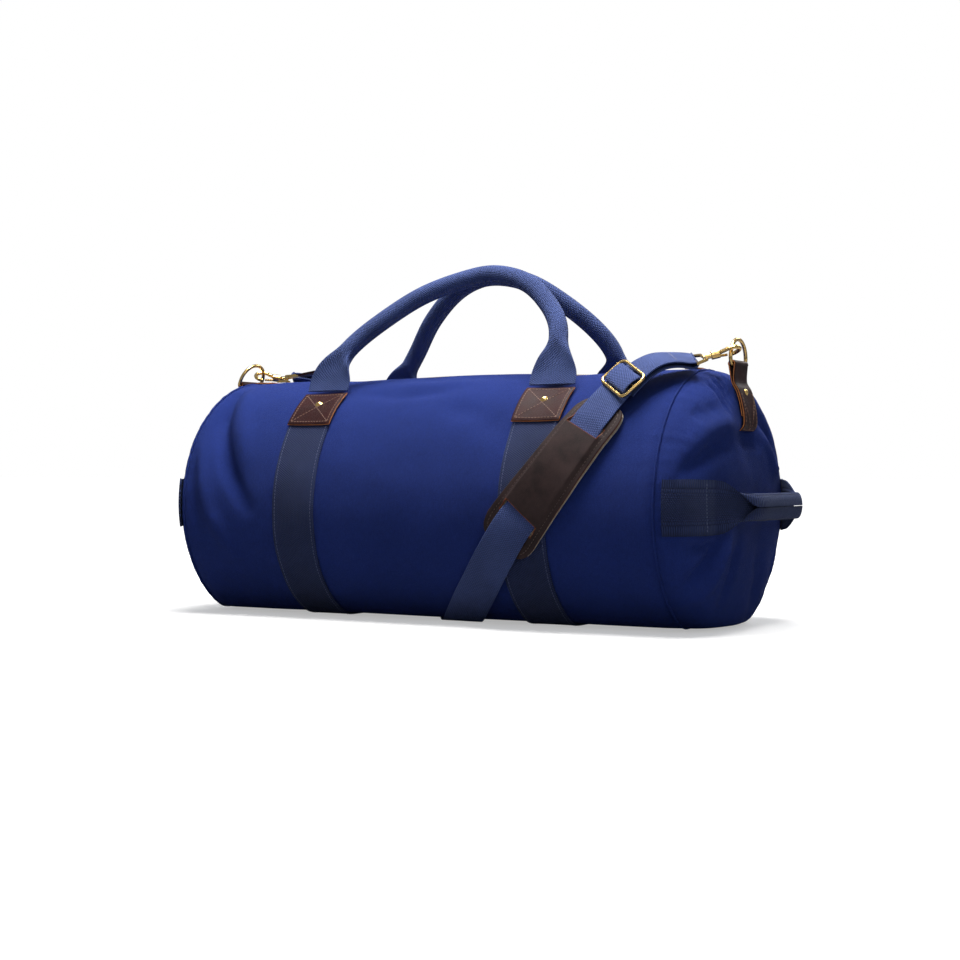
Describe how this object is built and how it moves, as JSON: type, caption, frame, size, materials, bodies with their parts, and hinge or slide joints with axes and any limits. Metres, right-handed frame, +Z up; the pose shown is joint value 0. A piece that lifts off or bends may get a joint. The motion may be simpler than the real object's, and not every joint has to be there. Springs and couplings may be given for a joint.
{
  "type": "weekender bag",
  "caption": "Canvas barrel weekender bag with webbing bands and handles, leather patches, brass hardware, top zip and padded shoulder strap.",
  "frame": {"origin": "middle of the floor footprint, on the floor", "axes": "+X along the barrel towards the end with the shoulder strap buckle, -Y the front, +Z up"},
  "size_m": [0.6696, 0.2809, 0.3694],
  "materials": {
    "canvas": "heavy navy cotton canvas, matt, fine plain weave",
    "webbing": "ribbed cotton webbing, matt, greyer blue than the canvas",
    "leather": "brown pull-up leather, satin, raw tan edges",
    "pad_leather": "dark brown grained leather, matt",
    "felt": "tan wool felt",
    "brass": "polished solid brass"
  },
  "bodies": {
    "bag": {"body_shell": "canvas", "end_panel_left": "canvas", "end_panel_right": "canvas", "end_welt_left": "canvas", "end_welt_right": "canvas", "web_band_left": "webbing", "web_band_right": "webbing", "grab_root_front_left": "webbing", "grab_root_front_right": "webbing", "grab_root_rear_left": "webbing", "grab_root_rear_right": "webbing", "strap": "webbing", "strap_return": "webbing", "patch_front_left": "leather", "patch_front_right": "leather", "patch_rear_left": "leather", "patch_rear_right": "leather", "ring_tab_left": "leather", "ring_tab_right": "leather", "zip_end_left": "leather", "zip_end_right": "leather", "pad_leather": "pad_leather", "pad_felt": "felt", "patch_rivet_front_left": "brass", "patch_rivet_front_right": "brass", "patch_rivet_rear_left": "brass", "patch_rivet_rear_right": "brass", "tab_rivet_left": "brass", "tab_rivet_right": "brass", "hook_eye_left": "brass", "hook_eye_right": "brass", "slide_buckle": "brass"},
    "mouth_front": {"mouth_flap_front": "canvas", "zip_tape_front": "webbing", "zip_teeth_front": "brass"},
    "mouth_rear": {"mouth_flap_rear": "canvas", "zip_tape_rear": "webbing", "zip_teeth_rear": "brass"},
    "slider": {"zip_slider": "brass"},
    "pull": {"zip_pull": "brass", "zip_pull_leather": "leather"},
    "top_handle_front": {"handle_front": "webbing"},
    "top_handle_rear": {"handle_rear": "webbing"},
    "end_handle_left": {"grab_handle_left": "webbing"},
    "end_handle_right": {"grab_handle_right": "webbing"},
    "d_ring_left": {"ring_left": "brass"},
    "d_ring_right": {"ring_right": "brass"},
    "snap_left": {"hook_left": "brass"},
    "snap_right": {"hook_right": "brass"},
    "gate_left": {"hook_gate_left": "brass"},
    "gate_right": {"hook_gate_right": "brass"}
  },
  "joints": [
    {"name": "zip_travel", "type": "slide", "parent": "bag", "child": "slider", "axis": [1, 0, 0], "range_m": [0, 0.43]},
    {"name": "mouth_front_open", "type": "hinge", "parent": "bag", "child": "mouth_front", "pos_m": [-0.0165, -0.03998, 0.24284], "axis": [-1, 0, 0], "range_deg": [0, 90]},
    {"name": "mouth_rear_open", "type": "hinge", "parent": "bag", "child": "mouth_rear", "pos_m": [-0.0165, 0.03998, 0.24284], "axis": [1, 0, 0], "range_deg": [0, 90]},
    {"name": "zip_pull_swing", "type": "hinge", "parent": "slider", "child": "pull", "pos_m": [-0.2553, 0, 0.2558], "axis": [0, -1, 0], "range_deg": [0, 140]},
    {"name": "top_handle_front_swing", "type": "hinge", "parent": "bag", "child": "top_handle_front", "pos_m": [-0.0165, -0.06907, 0.23697], "axis": [1, 0, 0], "range_deg": [0, 105]},
    {"name": "top_handle_rear_swing", "type": "hinge", "parent": "bag", "child": "top_handle_rear", "pos_m": [-0.0165, 0.06907, 0.23697], "axis": [-1, 0, 0], "range_deg": [0, 85]},
    {"name": "end_handle_left_swing", "type": "hinge", "parent": "bag", "child": "end_handle_left", "pos_m": [-0.31415, 0, 0.1183], "axis": [0, 1, 0], "range_deg": [-20, 20], "stiffness_Nm_per_rad": 0.3},
    {"name": "end_handle_right_swing", "type": "hinge", "parent": "bag", "child": "end_handle_right", "pos_m": [0.31018, 0, 0.1183], "axis": [0, 1, 0], "range_deg": [-20, 20], "stiffness_Nm_per_rad": 0.3},
    {"name": "d_ring_left_swing", "type": "hinge", "parent": "bag", "child": "d_ring_left", "pos_m": [-0.3045, 0, 0.2495], "axis": [0, 1, 0], "range_deg": [-6, 6]},
    {"name": "d_ring_right_swing", "type": "hinge", "parent": "bag", "child": "d_ring_right", "pos_m": [0.288, 0, 0.2545], "axis": [0, 1, 0], "range_deg": [-6, 6]},
    {"name": "snap_left_swivel", "type": "hinge", "parent": "bag", "child": "snap_left", "pos_m": [-0.29929, 0.01832, 0.26067], "axis": [-0.8356, -0.5336, 0.1309], "range_deg": [-10, 10]},
    {"name": "snap_right_swivel", "type": "hinge", "parent": "bag", "child": "snap_right", "pos_m": [0.288, -0.01832, 0.26683], "axis": [0.8189, 0.5229, 0.2368], "range_deg": [-10, 10]},
    {"name": "gate_left_press", "type": "hinge", "parent": "snap_left", "child": "gate_left", "pos_m": [-0.28708, 0.02022, 0.25617], "axis": [-0.3715, 0.3732, -0.8501], "range_deg": [0, 16], "stiffness_Nm_per_rad": 0.02},
    {"name": "gate_right_press", "type": "hinge", "parent": "snap_right", "child": "gate_right", "pos_m": [0.27577, -0.01964, 0.26217], "axis": [0.3663, -0.1585, -0.9169], "range_deg": [0, 16], "stiffness_Nm_per_rad": 0.02}
  ],
  "couplings": [
    {"joint": "mouth_front_open", "follows": "zip_travel", "rad_per_m": 3.65},
    {"joint": "mouth_rear_open", "follows": "zip_travel", "rad_per_m": 3.65}
  ]
}
